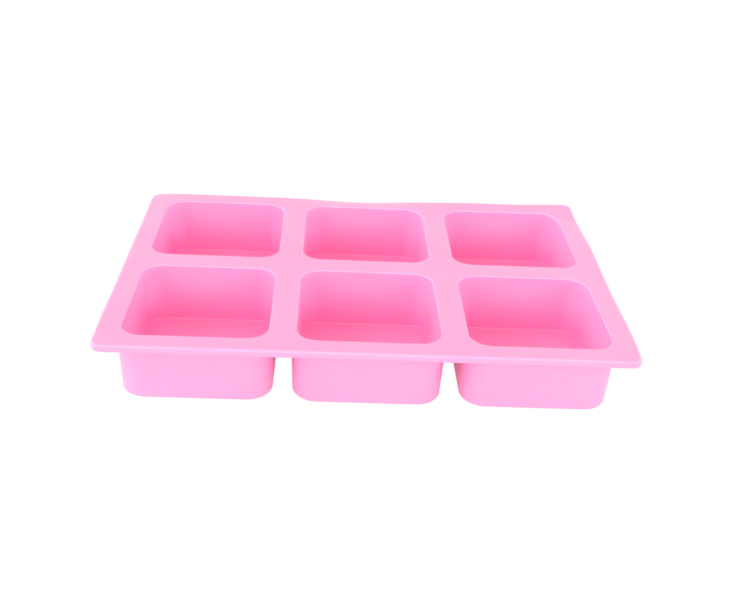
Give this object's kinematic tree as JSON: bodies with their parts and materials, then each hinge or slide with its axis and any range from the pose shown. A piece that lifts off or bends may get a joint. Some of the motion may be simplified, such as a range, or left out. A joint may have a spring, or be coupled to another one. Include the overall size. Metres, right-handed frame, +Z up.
{
  "type": "silicone soap mould",
  "caption": "Flexible silicone soap mould tray with square cavities in two rows; its outer columns fold and its floors push up to free the bars.",
  "frame": {"origin": "middle of the plane that the cups stand on", "axes": "+X along the length (three columns), +Y from the front row to the back row, +Z up"},
  "size_m": [0.2456, 0.1664, 0.0334],
  "materials": {
    "silicone": "smooth satin, slightly translucent"
  },
  "bodies": {
    "centre_column": {"deck_centre": "silicone", "cup_front_centre": "silicone", "cup_back_centre": "silicone", "web_left": "silicone", "web_right": "silicone"},
    "left_column": {"deck_left": "silicone", "cup_front_left": "silicone", "cup_back_left": "silicone"},
    "right_column": {"deck_right": "silicone", "cup_front_right": "silicone", "cup_back_right": "silicone"},
    "floor_front_left": {"floor_front_left": "silicone"},
    "floor_back_left": {"floor_back_left": "silicone"},
    "floor_front_centre": {"floor_front_centre": "silicone"},
    "floor_back_centre": {"floor_back_centre": "silicone"},
    "floor_front_right": {"floor_front_right": "silicone"},
    "floor_back_right": {"floor_back_right": "silicone"}
  },
  "joints": [
    {"name": "left_fold", "type": "hinge", "parent": "centre_column", "child": "left_column", "pos_m": [-0.0396, 0, 0.0316], "axis": [0, 1, 0], "range_deg": [-12, 60], "stiffness_Nm_per_rad": 0.06, "deforming": ["web_left"]},
    {"name": "right_fold", "type": "hinge", "parent": "centre_column", "child": "right_column", "pos_m": [0.0396, 0, 0.0316], "axis": [0, -1, 0], "range_deg": [-12, 60], "stiffness_Nm_per_rad": 0.06, "deforming": ["web_right"]},
    {"name": "front_left_push_out", "type": "slide", "parent": "left_column", "child": "floor_front_left", "axis": [0, 0, 1], "range_m": [0, 0.01], "stiffness_N_per_m": 600},
    {"name": "back_left_push_out", "type": "slide", "parent": "left_column", "child": "floor_back_left", "axis": [0, 0, 1], "range_m": [0, 0.01], "stiffness_N_per_m": 600},
    {"name": "front_centre_push_out", "type": "slide", "parent": "centre_column", "child": "floor_front_centre", "axis": [0, 0, 1], "range_m": [0, 0.01], "stiffness_N_per_m": 600},
    {"name": "back_centre_push_out", "type": "slide", "parent": "centre_column", "child": "floor_back_centre", "axis": [0, 0, 1], "range_m": [0, 0.01], "stiffness_N_per_m": 600},
    {"name": "front_right_push_out", "type": "slide", "parent": "right_column", "child": "floor_front_right", "axis": [0, 0, 1], "range_m": [0, 0.01], "stiffness_N_per_m": 600},
    {"name": "back_right_push_out", "type": "slide", "parent": "right_column", "child": "floor_back_right", "axis": [0, 0, 1], "range_m": [0, 0.01], "stiffness_N_per_m": 600}
  ]
}
